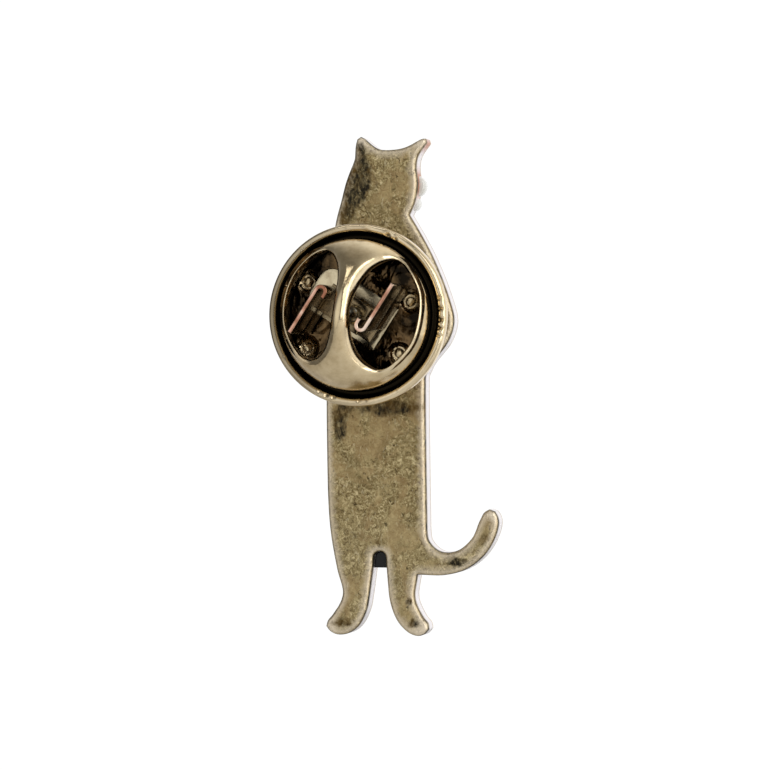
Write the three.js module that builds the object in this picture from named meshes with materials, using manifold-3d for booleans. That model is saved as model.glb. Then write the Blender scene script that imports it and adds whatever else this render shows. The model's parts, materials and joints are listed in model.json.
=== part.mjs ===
// A standing-cat enamel pin with its post and a butterfly clutch, in millimetres, +Z up.
// The origin is where the post meets the back face. +Y points out of the back, -Y out of the enamelled front.
import * as THREE from "three";
import Module from "manifold-3d";
import { mergeVertices } from "three/addons/utils/BufferGeometryUtils.js";

const wasm = await Module();
wasm.setup();

// ---- driving dimensions ----
const PLATE_THICK = 1.6;
const OUTLINE_STEP = 0.42; // spacing of points along the outline's curves
const STRAIGHT = 0.006; // a point closer than this to the line between its neighbours isn't needed
const BORDER = 0.22; // raised metal between the plate's edge and the nearest enamel
const LINE = 0.2; // raised metal line between two enamels
const POCKET_DEPTH = 0.5;
const ENAMEL_THICK = 0.42;
const GAP = 0.02; // between an enamel and the walls of its pocket

const PAD_R = 1.35; // shallow seat in the back face that the post is soldered into
const PAD_DEPTH = 0.06;
const POST_R = 0.5;
const POST_TIP_Y = 8.15;
const POST_TAPER = 1.1;
const GROOVE_Y = 6.7;
const GROOVE_WIDTH = 0.3;
const GROOVE_R = 0.4;

const CLOTH_GAP = 3.85; // back face to the clutch's cloth side, with the clutch pushed fully on
const SHEET = 0.28; // sheet metal of the clutch
const RIM_R = 5.72;
const RIM_TOP_Y = 5.0;
const LIP_R = 5.2;
const BASE_HOLE_R = 0.75;
const BRIM_R = 5.3;
const BRIM_Y = 4.2;
const CAP_R = 4.74;
const SHOULDER_Y = 5.6;
const CROWN_Y = 9.4;
const DOME_FALL = 0.75; // 0.5 is an ellipse, 1 a parabola
const TURN_STEPS = 48;
const DOME_STEPS = 8;

const BRIDGE_TILT = THREE.MathUtils.degToRad(8);
const OPENING_Z = 0.3; // the openings' middle, above the post's axis
const SPRING_TURN = THREE.MathUtils.degToRad(33);
const SPRING_THICK = 0.24;
const SPRING_Z = 0.33; // the spring sits a little above the post's axis
const WING_LENGTH = 3.2; // straight part, without its curled end
const WING_X = 2.4; // middle of a wing to the middle of the spring
const WING_DROP = 0.13; // how far the +X wing's middle is below the spring's
const WING_FOOT_Y = 4.5;
const WING_TOP_Y = 8.9;
const CURL_R = 0.3;
const CURL_BACK = 0.3; // straight end after the curl
const CURL_FOOT_Y = 6.4; // above both jaws
const JAW_Y = { a: 5.6, b: 5.15 };
const JAW_HALF = 0.95;
const JAW_LAND = 0.3; // metal left beyond the post
const GRIP_CLEARANCE = 0.06;
const WING_TRAVEL = 0.28;
const SEAT = { low: [-2.0, -1.4], high: [3.5, 1.7], corner: 1.0 }; // its far end is rounded

// ---- finishes ----
function finish(color, roughness, metalness) {
  return new THREE.MeshStandardMaterial({ color, roughness, metalness });
}

const ANTIQUE_BRASS = finish(0x8c7a4c, 0.45, 1);
const POLISHED_BRASS = finish(0xa08c5a, 0.22, 1);
const SPRING_BRASS = finish(0x9a7a58, 0.3, 1);
const STEEL = finish(0xb8b6b0, 0.3, 1);
const BLACK = finish(0x0c0b0b, 0.15, 0);
const WHITE = finish(0xe6e3dc, 0.2, 0);
const PINK = finish(0xd98c8c, 0.25, 0);
const GOLD = finish(0xc9a51e, 0.2, 0);

// ---- outline of the cat as [x, z]: each stretch is one smooth curve, and stretches meet at corners ----
const ARCH = { x: -0.21, z: -15.45, r: 0.41 }; // round top of the gap between the legs
const OUTLINE = [
  // left ear to the left ankle and heel
  [[1.28, 11.4], [1.4, 10.9], [1.46, 10.1], [1.74, 9.4], [2.04, 8.6], [2.33, 7.5], [2.72, 6.0],
    [3.05, 3], [3.3, -3], [3.3, -8.6], [3.1, -13.4], [2.62, -16.2], [2.24, -17.7],
    [2.44, -18.4], [2.97, -19.2]],
  // left foot
  [[2.97, -19.2], [3.37, -19.8], [2.9, -20.33], [2.11, -20.4], [1.32, -19.97], [0.7, -18.9], [0.4, -17.3],
    [0.22, -15.9]],
  // arch between the legs
  [[0.22, -15.9], ...arc(ARCH.x, ARCH.z, ARCH.r, 0, Math.PI, 8), [-0.64, -15.9]],
  // right leg and foot
  [[-0.64, -15.9], [-0.72, -16.9], [-0.92, -18.4], [-1.45, -19.6], [-2.3, -20.33], [-3.0, -20.38],
    [-3.48, -19.85], [-2.98, -19.1], [-2.52, -18.0], [-2.7, -16.5]],
  // tail, underside to tip
  [[-2.7, -16.5], [-4.5, -16.5], [-5.9, -16.1], [-7.06, -15.2], [-7.8, -13.95], [-7.98, -12.95],
    [-7.6, -12.3], [-7.15, -12.38], [-6.73, -13.06], [-6.27, -14.1], [-5.28, -14.94], [-4.16, -14.98],
    [-3.42, -14.3], [-3.3, -13.4]],
  // flank to the waist
  [[-3.3, -13.4], [-3.25, -8.6], [-3.2, -3.9]],
  // bent arm, waist to shoulder and neck
  [[-3.2, -3.9], [-3.55, -3.1], [-4.7, -1.6], [-5.08, -0.3], [-4.75, 1.15], [-3.83, 3.5], [-3.0, 5.1],
    [-2.16, 6.5]],
  // cheek
  [[-2.16, 6.5], [-2.5, 7.3], [-2.7, 8.4], [-2.6, 9.6], [-2.72, 10.25], [-3.3, 11.1]],
  // right ear tip
  [[-3.3, 11.1], [-3.22, 11.36], [-2.95, 11.34]],
  // crown of the head, from ear to ear
  [[-2.95, 11.34], [-1.85, 10.82], [-0.95, 10.68], [-0.13, 10.74], [0.3, 11.0], [0.8, 11.42]],
  // left ear tip
  [[0.8, 11.42], [1.05, 11.55], [1.28, 11.4]],
];

// ---- enamels, in the order in which they claim their ground: the first to hold a spot keeps it ----
const ENAMELS = [
  { name: "enamel_ear_left", finish: PINK, area: [[0.45, 10.6], [0.95, 11.2], [1.2, 10.25]] },
  { name: "enamel_ear_right", finish: PINK, area: [[-1.88, 10.36], [-2.8, 11.1], [-2.4, 9.9]] },
  { name: "enamel_eye_left", finish: GOLD, area: oval(-0.35, 9.35, 0.36, 0.3) },
  { name: "enamel_eye_right", finish: GOLD, area: oval(-1.6, 9.5, 0.3, 0.26) },
  { name: "enamel_head", finish: BLACK, area: block(-4, 6.75, 4, 12.5) },
  { name: "enamel_paw_right", finish: WHITE, area: oval(-1.55, -3.15, 0.72, 0.6) },
  {
    name: "enamel_bib",
    finish: WHITE,
    area: smoothLoop([[-0.2, 6.7], [1.0, 6.4], [1.25, 4.0], [1.1, 0], [0.6, -4], [-0.2, -7.2], [-1.0, -4],
      [-1.4, 0], [-1.55, 4.0], [-1.3, 6.4]]),
  },
  {
    name: "enamel_arm_right",
    finish: BLACK,
    area: [[-1.0, 6.5], [-6, 6.5], [-6, -4.4], [-2.95, -4.4], [-2.0, -3.6], [-2.2, -2.6], [-2.95, -1.1],
      [-2.9, 0.6], [-2.1, 1.5], [-1.0, 1.7]],
  },
  { name: "enamel_side_right", finish: BLACK, area: block(-3.3, -3, -1.0, 2) },
  {
    name: "enamel_paw_left",
    finish: WHITE,
    area: [[1.72, -3.3], [4, -3.3], [4, -4.9], [2.6, -4.85], [1.9, -4.5], [1.65, -3.9]],
  },
  {
    name: "enamel_arm_left",
    finish: BLACK,
    area: [[0.9, 6.5], [4, 6.5], [4, -3.05], [1.72, -3.05], [1.6, -1.5], [0.9, 1.2]],
  },
  { name: "enamel_tail_tip", finish: WHITE, area: [[-9, -14.0], [-6, -13.5], [-6, -11.5], [-9, -11.5]] },
  { name: "enamel_tail", finish: BLACK, area: block(-9, -17.2, -3.05, -12.5) },
  { name: "enamel_sock_left", finish: WHITE, area: block(0, -21, 4, -18.25) },
  { name: "enamel_sock_right", finish: WHITE, area: block(-4, -21, -0.4, -18.25) },
  { name: "enamel_leg_left", finish: BLACK, area: block(-0.1, -18.2, 4, -14.6) },
  { name: "enamel_leg_right", finish: BLACK, area: block(-2.9, -18.2, -0.34, -14.6) },
  { name: "enamel_body", finish: BLACK, area: block(-4, -14.4, 4, 6.5) },
];

// ---- curves and loops ----
function block(lowX, lowZ, highX, highZ) {
  return [[lowX, lowZ], [highX, lowZ], [highX, highZ], [lowX, highZ]];
}

function oval(x, z, rx, rz, steps = 16) {
  return Array.from({ length: steps }, (_, i) => {
    const turn = (2 * Math.PI * i) / steps;
    return [x + rx * Math.cos(turn), z + rz * Math.sin(turn)];
  });
}

function arc(x, z, radius, from, to, steps) {
  return Array.from({ length: steps + 1 }, (_, i) => {
    const turn = from + ((to - from) * i) / steps;
    return [x + radius * Math.cos(turn), z + radius * Math.sin(turn)];
  });
}

function along(points, closed = false) {
  const knots = points.map(([x, z]) => new THREE.Vector3(x, z, 0));
  const curve = new THREE.CatmullRomCurve3(knots, closed, "centripetal");
  const steps = Math.max(points.length - 1, Math.ceil(curve.getLength() / OUTLINE_STEP));
  const places = curve.getSpacedPoints(steps).map((p) => [p.x, p.y]);
  return withoutStraightPoints(places).slice(0, -1); // the last place is the next stretch's first
}

// Drops the points of an open line that lie almost on the straight between their neighbours.
function withoutStraightPoints(places) {
  const kept = [places[0]];
  places.slice(1, -1).forEach((place, i) => {
    const [ax, az] = kept[kept.length - 1];
    const [bx, bz] = places[i + 2];
    const twiceArea = Math.abs((bx - ax) * (place[1] - az) - (bz - az) * (place[0] - ax));
    if (twiceArea > STRAIGHT * Math.hypot(bx - ax, bz - az)) kept.push(place);
  });
  kept.push(places[places.length - 1]);
  return kept;
}

function smoothLoop(points) {
  return along(points, true);
}

function area(loop) {
  const corners = loop.map(([x, z]) => new THREE.Vector2(x, z));
  return THREE.ShapeUtils.area(corners);
}

function distanceToLoop([x, z], loop) {
  let nearest = Infinity;
  loop.forEach(([ax, az], i) => {
    const [bx, bz] = loop[(i + 1) % loop.length];
    const length2 = (bx - ax) ** 2 + (bz - az) ** 2;
    const share = THREE.MathUtils.clamp(((x - ax) * (bx - ax) + (z - az) * (bz - az)) / length2, 0, 1);
    nearest = Math.min(nearest, Math.hypot(x - ax - share * (bx - ax), z - az - share * (bz - az)));
  });
  return nearest;
}

// The loop moved inwards by a distance, or outwards by a negative one. Points that fold over are dropped.
function inset(loop, distance) {
  const ring = area(loop) > 0 ? loop : [...loop].reverse();
  const moved = ring.map(([x, z], i) => {
    const [px, pz] = ring[(i + ring.length - 1) % ring.length];
    const [nx, nz] = ring[(i + 1) % ring.length];
    const before = new THREE.Vector2(x - px, z - pz).normalize();
    const after = new THREE.Vector2(nx - x, nz - z).normalize();
    const ahead = before.clone().add(after).normalize();
    const stretch = 1 / Math.max(ahead.dot(after), 0.2); // keeps the width round a mitred corner
    return [x - ahead.y * distance * stretch, z + ahead.x * distance * stretch];
  });
  return moved.filter((p) => distanceToLoop(p, ring) > Math.abs(distance) * 0.95);
}

// ---- solids ----
function solidOf(geometry) {
  const plain = geometry.index ? geometry.toNonIndexed() : geometry;
  plain.deleteAttribute("normal");
  plain.deleteAttribute("uv");
  const merged = mergeVertices(plain, 1e-4);
  const vertProperties = merged.attributes.position.array;
  const triVerts = new Uint32Array(merged.index.array);
  return new wasm.Manifold(new wasm.Mesh({ numProp: 3, vertProperties, triVerts }));
}

function geometryOf(solid) {
  const mesh = solid.getMesh();
  const geometry = new THREE.BufferGeometry();
  geometry.setAttribute("position", new THREE.BufferAttribute(new Float32Array(mesh.vertProperties), 3));
  geometry.setIndex(new THREE.BufferAttribute(new Uint32Array(mesh.triVerts), 1));
  geometry.computeVertexNormals();
  return geometry;
}

// A loop in X and Z, standing from one height to another along Y.
function prism(loop, lowY, highY, holes = []) {
  const shape = new THREE.Shape(loop.map(([x, z]) => new THREE.Vector2(x, z)));
  holes.forEach((hole) => shape.holes.push(new THREE.Path(hole.map(([x, z]) => new THREE.Vector2(x, z)))));
  const geometry = new THREE.ExtrudeGeometry(shape, { depth: highY - lowY, bevelEnabled: false });
  geometry.rotateX(Math.PI / 2);
  geometry.translate(0, highY, 0);
  return solidOf(geometry);
}

// A profile of [radius, y] turned about the Y axis.
function turned(profile, steps = TURN_STEPS) {
  return solidOf(new THREE.LatheGeometry(profile.map(([r, y]) => new THREE.Vector2(r, y)), steps));
}

// ---- the pin's metal and enamels ----
const FRONT_Y = -PLATE_THICK;
const outline = OUTLINE.flatMap((stretch) => along(stretch));
const MUZZLE = {
  x: -2.34,
  tilt: 0.14, // the lower lobe is nearer to the neck
  lobes: [[8.37, 0.72], [7.24, 0.5]],
  lowY: FRONT_Y - 0.1,
  highY: -0.75,
};
const LOBE_STEPS = 14;
const NOSE = { x: -2.42, z: 8.62, r: 0.2, depth: 0.3 };
const CROTCH = { low: -16.1, high: -14.9, halfWidth: 0.75, x: -0.22, lowY: -1.3, highY: -0.5 };

// Two round lobes, one above the other, as one outline that passes through the two points where they cross.
function muzzleSolid(growth, lowY, highY) {
  const [[upperZ, upperR], [lowerZ, lowerR]] = MUZZLE.lobes.map(([z, r]) => [z, r + growth]);
  const apart = upperZ - lowerZ;
  const crossing = (apart ** 2 + upperR ** 2 - lowerR ** 2) / (2 * apart); // below the upper lobe's centre
  const half = Math.sqrt(upperR ** 2 - crossing ** 2);
  const upperTurn = Math.atan2(-crossing, half);
  const lowerTurn = Math.atan2(apart - crossing, half);
  const upper = arc(MUZZLE.x, upperZ, upperR, upperTurn, Math.PI - upperTurn, LOBE_STEPS);
  const lower = arc(MUZZLE.x, lowerZ, lowerR, Math.PI - lowerTurn, 2 * Math.PI + lowerTurn, LOBE_STEPS);
  const loop = [...upper.slice(0, -1), ...lower.slice(0, -1)];
  const cos = Math.cos(MUZZLE.tilt);
  const sin = Math.sin(MUZZLE.tilt);
  const turned = loop.map(([x, z]) => {
    const [across, down] = [x - MUZZLE.x, z - upperZ];
    return [MUZZLE.x + across * cos - down * sin, upperZ + across * sin + down * cos];
  });
  return prism(turned, lowY, highY);
}

function enamelSolid(index, gap, lowY, highY) {
  const ground = prism(inset(outline, BORDER + gap), lowY, highY);
  const own = prism(gap ? inset(ENAMELS[index].area, gap) : ENAMELS[index].area, lowY, highY);
  const claims = ENAMELS.slice(0, index).map((other) => inset(other.area, -(LINE + gap)));
  const solids = claims.map((claim) => prism(claim, lowY - 1, highY + 1));
  const free = solids.reduce((solid, other) => solid.subtract(other), own.intersect(ground));
  return free.subtract(muzzleSolid(LINE + gap, lowY - 1, highY + 1));
}

function plateSolid() {
  const floorY = FRONT_Y + POCKET_DEPTH;
  const blank = prism(outline, FRONT_Y, 0);
  const seat = prism(oval(0, 0, PAD_R, PAD_R, 32), -PAD_DEPTH, 1);
  const muzzleNotch = muzzleSolid(GAP, FRONT_Y - 1, MUZZLE.highY + GAP);
  const pockets = ENAMELS.map((_, index) => enamelSolid(index, 0, FRONT_Y - 1, floorY));
  const cut = blank.subtract(seat).subtract(muzzleNotch);
  return pockets.reduce((solid, pocket) => solid.subtract(pocket), cut);
}

function muzzle() {
  const pocketLoop = oval(NOSE.x, NOSE.z, NOSE.r + GAP, NOSE.r + GAP);
  const pocket = prism(pocketLoop, MUZZLE.lowY - 1, MUZZLE.lowY + NOSE.depth);
  return muzzleSolid(0, MUZZLE.lowY, MUZZLE.highY).subtract(pocket);
}

function nose() {
  const lowY = MUZZLE.lowY - 0.06;
  return prism(oval(NOSE.x, NOSE.z, NOSE.r, NOSE.r), lowY, MUZZLE.lowY + NOSE.depth - GAP);
}

function crotchWeb() {
  const { low, high, halfWidth, x, lowY, highY } = CROTCH;
  const web = prism(block(x - halfWidth, low, x + halfWidth, high), lowY, highY);
  return web.subtract(prism(inset(outline, -GAP), lowY - 1, highY + 1));
}

// ---- post ----
function post() {
  const shaftEnd = POST_TIP_Y - POST_TAPER;
  return turned([
    [0, -PAD_DEPTH + GAP],
    [POST_R, -PAD_DEPTH + GAP],
    [POST_R, GROOVE_Y - GROOVE_WIDTH / 2],
    [GROOVE_R, GROOVE_Y - GROOVE_WIDTH / 6],
    [GROOVE_R, GROOVE_Y + GROOVE_WIDTH / 6],
    [POST_R, GROOVE_Y + GROOVE_WIDTH / 2],
    [POST_R, shaftEnd],
    [POST_R * 0.55, shaftEnd + POST_TAPER * 0.6],
    [0, POST_TIP_Y],
  ], 24);
}

function solderRing() {
  const inner = POST_R + GAP;
  const foot = -PAD_DEPTH + GAP;
  return turned([
    [inner, foot],
    [PAD_R - GAP, foot],
    [PAD_R - GAP, 0.02],
    [inner + 0.35, 0.14],
    [inner + 0.12, 0.34],
    [inner, 0.42],
    [inner, foot],
  ], 32);
}

// ---- clutch: base disc with its rolled rim, and the domed cap held under that rim ----
function clutchBase() {
  const floor = CLOTH_GAP + SHEET;
  const grooveR = BRIM_R + 0.08;
  return turned([
    [BASE_HOLE_R, CLOTH_GAP],
    [RIM_R - 0.5, CLOTH_GAP],
    [RIM_R - 0.15, CLOTH_GAP + 0.15],
    [RIM_R, CLOTH_GAP + 0.5],
    [RIM_R, RIM_TOP_Y - 0.28],
    [RIM_R - 0.08, RIM_TOP_Y - 0.09],
    [RIM_R - 0.27, RIM_TOP_Y],
    [LIP_R + 0.08, RIM_TOP_Y - 0.08],
    [LIP_R, RIM_TOP_Y - 0.26],
    [LIP_R, BRIM_Y + SHEET + 0.12],
    [grooveR, BRIM_Y + SHEET + 0.07],
    [grooveR, floor],
    [BASE_HOLE_R, floor],
    [BASE_HOLE_R, CLOTH_GAP],
  ]);
}

function domeY(radius) {
  return SHOULDER_Y + (CROWN_Y - SHOULDER_Y) * (1 - (radius / CAP_R) ** 2) ** DOME_FALL;
}

function domeProfile(shrink, drop) {
  return Array.from({ length: DOME_STEPS + 1 }, (_, i) => {
    const radius = CAP_R * Math.sin((Math.PI / 2) * (i / DOME_STEPS));
    return [radius * shrink, domeY(radius) - drop];
  });
}

// One of the two openings beside the bridge, seen along the post's axis.
function openingLoop(side) {
  const half = [
    [0.5, 0], [0.58, 1.0], [0.76, 1.9], [1.2, 2.8], [2.05, 3.4], [2.85, 3.2], [3.6, 2.4], [4.12, 1.4],
  ];
  const mirrored = [[4.3, 0], ...half.slice(1).reverse().map(([u, v]) => [u, -v])];
  return smoothLoop([...half, ...mirrored]).map(([u, v]) => turn([side * u, v + OPENING_Z], BRIDGE_TILT));
}

function turn([x, z], angle) {
  return [x * Math.cos(angle) - z * Math.sin(angle), x * Math.sin(angle) + z * Math.cos(angle)];
}

function clutchCap() {
  const inside = domeProfile((CAP_R - SHEET) / CAP_R, SHEET);
  const outside = domeProfile(1, 0).reverse();
  const shell = turned([
    ...inside,
    [CAP_R - SHEET, BRIM_Y],
    [BRIM_R, BRIM_Y],
    [BRIM_R, BRIM_Y + SHEET],
    [CAP_R, BRIM_Y + SHEET],
    ...outside,
  ]);
  const cutters = [-1, 1].map((side) => prism(openingLoop(side), SHOULDER_Y, CROWN_Y + 1));
  return cutters.reduce((solid, cutter) => solid.subtract(cutter), shell);
}

// ---- spring: a seat on the base disc and two wings whose jaws cross round the post ----
// Plan places are measured across the wings and along them, then turned with the spring.
function springPlan(loop) {
  return loop.map((place) => turn(place, SPRING_TURN));
}

function springSeat() {
  const { low, high, corner } = SEAT;
  const hole = oval(0, 0, BASE_HOLE_R, BASE_HOLE_R, 20);
  const lowY = CLOTH_GAP + SHEET + 0.05;
  const loop = [
    low,
    ...arc(high[0] - corner, low[1] + corner, corner, -Math.PI / 2, 0, 6),
    ...arc(high[0] - corner, high[1] - corner, corner, 0, Math.PI / 2, 6),
    [low[0], high[1]],
  ];
  return prism(springPlan(loop), lowY, lowY + SHEET * 0.7, [hole]);
}

// The strip of one wing in plan, from its foot to where its curl begins.
function wingStrip(across, alongMid) {
  const half = SPRING_THICK / 2;
  return block(across - half, alongMid - WING_LENGTH / 2, across + half, alongMid + WING_LENGTH / 2);
}

// The curled end of a wing in plan: half a turn towards the bridge, then a short way back.
function wingCurl(across, alongMid) {
  const half = SPRING_THICK / 2;
  const start = alongMid + WING_LENGTH / 2;
  const curl = (radius, from, to) => arc(across - CURL_R, start, radius, from, to, 8);
  return [
    [across - half, start - WING_LENGTH / 4],
    [across + half, start - WING_LENGTH / 4],
    ...curl(CURL_R + half, 0, Math.PI),
    [across - 2 * CURL_R - half, start - CURL_BACK],
    [across - 2 * CURL_R + half, start - CURL_BACK],
    ...curl(CURL_R - half, Math.PI, 0),
  ];
}

// A wing, drawn for the +X side. The other one is the same with its place turned half round.
function wing(side) {
  const sign = side === "a" ? 1 : -1;
  const middle = [sign * WING_X, SPRING_Z - sign * WING_DROP];
  const [across, alongMid] = turn(middle, -SPRING_TURN).map((c) => c * sign);
  const place = (loop) => springPlan(loop.map(([u, v]) => [u * sign, v * sign]));
  const strip = prism(place(wingStrip(across, alongMid)), WING_FOOT_Y, WING_TOP_Y);
  const curl = prism(place(wingCurl(across, alongMid)), CURL_FOOT_Y, WING_TOP_Y);
  const farEdge = -(POST_R + GRIP_CLEARANCE + JAW_LAND);
  const holeR = POST_R + GRIP_CLEARANCE;
  const slack = WING_TRAVEL + GRIP_CLEARANCE;
  const hole = oval(0, 0, holeR, holeR, 20).map(([u, v]) => [u > 0.01 ? u + slack : u, v]);
  const lowY = JAW_Y[side];
  const highY = lowY + SPRING_THICK;
  const jaw = prism(place(block(farEdge, -JAW_HALF, across, JAW_HALF)), lowY, highY, [place(hole)]);
  return strip.add(curl).add(jaw);
}

// ---- assembly ----
function named(name, solid, material) {
  const mesh = new THREE.Mesh(geometryOf(solid), material);
  mesh.name = name;
  return mesh;
}

function pinGroup() {
  const group = new THREE.Group();
  group.add(named("plate", plateSolid(), ANTIQUE_BRASS));
  group.add(named("post", post(), STEEL));
  group.add(named("solder_ring", solderRing(), STEEL));
  ENAMELS.forEach(({ name, finish: material }, index) => {
    const lowY = FRONT_Y + POCKET_DEPTH - GAP - ENAMEL_THICK;
    group.add(named(name, enamelSolid(index, GAP, lowY, lowY + ENAMEL_THICK), material));
  });
  group.add(named("enamel_muzzle", muzzle(), WHITE));
  group.add(named("enamel_nose", nose(), PINK));
  group.add(named("enamel_crotch", crotchWeb(), BLACK));
  return group;
}

function clutchGroup() {
  const group = new THREE.Group();
  group.add(named("clutch_base", clutchBase(), POLISHED_BRASS));
  group.add(named("clutch_cap", clutchCap(), POLISHED_BRASS));
  group.add(named("spring_seat", springSeat(), SPRING_BRASS));
  group.add(named("spring_wing_a", wing("a"), SPRING_BRASS));
  group.add(named("spring_wing_b", wing("b"), SPRING_BRASS));
  return group;
}

const group = new THREE.Group();
group.add(pinGroup(), clutchGroup());
export default group;
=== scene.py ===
"""A standing-cat enamel pin seen from behind, with its butterfly clutch pushed onto the post."""

import json
import math

import bmesh
import bpy
import numpy as np
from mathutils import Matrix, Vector, geometry, kdtree, noise


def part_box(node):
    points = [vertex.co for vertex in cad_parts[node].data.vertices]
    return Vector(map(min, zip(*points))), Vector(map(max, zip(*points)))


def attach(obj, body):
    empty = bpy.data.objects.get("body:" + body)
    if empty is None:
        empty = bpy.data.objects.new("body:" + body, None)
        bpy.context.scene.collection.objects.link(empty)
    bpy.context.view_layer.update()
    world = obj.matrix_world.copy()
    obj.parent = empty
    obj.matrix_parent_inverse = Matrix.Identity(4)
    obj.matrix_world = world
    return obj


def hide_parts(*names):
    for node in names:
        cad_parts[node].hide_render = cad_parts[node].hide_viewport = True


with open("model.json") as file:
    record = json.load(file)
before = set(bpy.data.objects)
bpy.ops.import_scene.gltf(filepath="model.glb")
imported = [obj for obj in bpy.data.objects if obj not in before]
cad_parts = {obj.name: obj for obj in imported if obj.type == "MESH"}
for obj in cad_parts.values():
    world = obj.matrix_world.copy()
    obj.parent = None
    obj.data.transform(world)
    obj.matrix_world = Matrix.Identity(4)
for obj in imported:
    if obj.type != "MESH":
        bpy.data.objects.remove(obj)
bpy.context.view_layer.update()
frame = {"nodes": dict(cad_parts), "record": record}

MM = 0.001
STEP = 0.1  # spacing of points along fine outlines, in mm
CORNER = math.radians(38)  # a sharper turn than this stays a corner
WELD = 2e-7  # points nearer to each other than this, in metres, become one

# ---- the pin, in mm ----
BACK_Y = 0.0
FRONT_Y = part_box("plate")[0].y / MM
BACK_ROUND = 0.3
FRONT_ROUND = 0.08
POCKET_FLOOR_Y = FRONT_Y + 0.5
POCKET_GAP = 0.02  # between an enamel and the wall of its pocket
POCKET_WALL = 0.012  # how far a pocket's wall leans in towards its floor
UNEVEN = 0.02  # height of the waves on the back
FRONT_BAND_Y = FRONT_Y + 0.12  # the front's edges and raised lines end here
LEGS_TOP_Z = -12.5  # below this the plate is painted a little lighter, as painted light on the legs

# ---- the clutch, in mm ----
BASE_LOW, BASE_HIGH = (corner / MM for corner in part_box("clutch_base"))
CAP_LOW, CAP_HIGH = (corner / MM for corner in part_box("clutch_cap"))
RIM_R = BASE_HIGH.x
RIM_TOP_Y = BASE_HIGH.y
CLOTH_Y = BASE_LOW.y
CROWN_Y = CAP_HIGH.y
BRIM_R = CAP_HIGH.x
BRIM_Y = CAP_LOW.y
SHEET = 0.28  # thickness of the sheet metal
FLOOR_TOP_Y = CLOTH_Y + SHEET
UPPER_SIDE_Y = CLOTH_Y + 0.15  # above this a point of the base isn't on its cloth side
BASE_STEPS = 480  # points round the base
CAP_R = 4.74
CAP_STEPS = 300  # points round the cap
INNER_R = CAP_R - 0.3  # the floor inside this radius is seen through the openings
SHOULDER_Y = 5.6
DOME_FALL = 0.75  # power of the dome's fall, flatter on top when it is smaller
OPENING_Z = 0.3  # the openings are this far above the post's axis
BRIDGE_TILT = math.radians(8)
WING_CURL_FOOT_Y = 6.4
JAW_LOW_Y = {"a": 5.6, "b": 5.15}  # one jaw is on top of the other
JAW_THICK = 0.24


# ---- soft shares over points ----
def bell(value, centre, width):
    """1 at the centre, with a soft fall on both sides."""
    return np.exp(-(((value - centre) / width) ** 2))


def from_axis(co):
    """How far points are from the post's axis."""
    return np.hypot(co[:, 0], co[:, 2])


# ---- plan outlines: arrays of (x, z) in mm ----
def flat_loops(node, y):
    """The closed outlines of a CAD node's flat area at one height along Y, the longest first."""
    bm = bmesh.new()
    bm.from_mesh(frame["nodes"][node].data)
    bmesh.ops.remove_doubles(bm, verts=bm.verts, dist=WELD)
    flat = {f for f in bm.faces if all(abs(v.co.y / MM - y) < 1e-3 for v in f.verts)}
    ways = {}
    for edge in bm.edges:
        if sum(face in flat for face in edge.link_faces) == 1:
            a, b = edge.verts
            ways.setdefault(a, []).append(b)
            ways.setdefault(b, []).append(a)
    loops = []
    while ways:
        first = next(iter(ways))
        loop, here = [first], first
        while True:
            onward = [v for v in ways[here] if v in ways and v is not (loop[-2] if len(loop) > 1 else None)]
            onward = [v for v in onward if v not in loop[1:]]
            if not onward or (onward[0] is first and len(loop) > 2):
                break
            here = onward[0] if onward[0] is not first else onward[-1]
            if here is first:
                break
            loop.append(here)
        for v in loop:
            ways.pop(v)
        if len(loop) > 2:
            loops.append(np.array([(v.co.x / MM, v.co.z / MM) for v in loop]))
    bm.free()
    return sorted(map(anticlockwise, loops), key=lambda loop: -loop_length(loop))


def loop_length(loop):
    return np.linalg.norm(loop - np.roll(loop, 1, 0), axis=1).sum()


def anticlockwise(loop):
    x, z = loop.T
    return loop if (x * np.roll(z, -1) - np.roll(x, -1) * z).sum() > 0 else loop[::-1]


def fine_loop(loop, step=STEP, corner_turn=CORNER):
    """The loop as a smooth curve through its points, with its corners kept."""
    after = np.roll(loop, -1, 0) - loop
    before = loop - np.roll(loop, 1, 0)
    long_after, long_before = (np.linalg.norm(v, axis=1)[:, None] for v in (after, before))
    chord_after, chord_before = after / long_after, before / long_before
    straightness = (chord_after * chord_before).sum(1)
    tangent = (chord_after * long_after + chord_before * long_before) / (long_after + long_before)
    corner = straightness < math.cos(corner_turn)
    out = []
    for i in range(len(loop)):
        j = (i + 1) % len(loop)
        length = long_after[i, 0]
        leave = chord_after[i] if corner[i] else tangent[i]
        arrive = chord_after[i] if corner[j] else tangent[j]
        for s in np.arange(0, 1, 1 / max(1, round(length / step))):
            out.append(
                (2 * s**3 - 3 * s**2 + 1) * loop[i]
                + (s**3 - 2 * s**2 + s) * length * leave
                + (3 * s**2 - 2 * s**3) * loop[j]
                + (s**3 - s**2) * length * arrive
            )
    return np.array(out)


def nearest(points, loops):
    """How far each point is from the nearest of the closed loops."""
    tree = kdtree.KDTree(sum(map(len, loops)))
    where = []
    for k, loop in enumerate(loops):
        for i, (x, z) in enumerate(loop):
            tree.insert((x, z, 0), len(where))
            where.append((k, i))
    tree.balance()
    out = np.empty(len(points))
    for n, point in enumerate(points):
        _, index, gap = tree.find((point[0], point[1], 0))
        k, i = where[index]
        loop = loops[k]
        for a, b in ((loop[i - 1], loop[i]), (loop[i], loop[(i + 1) % len(loop)])):
            along = b - a
            share = min(max(np.dot(point - a, along) / max(np.dot(along, along), 1e-12), 0), 1)
            gap = min(gap, math.hypot(*(point - a - share * along)))
        out[n] = gap
    return out


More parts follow.
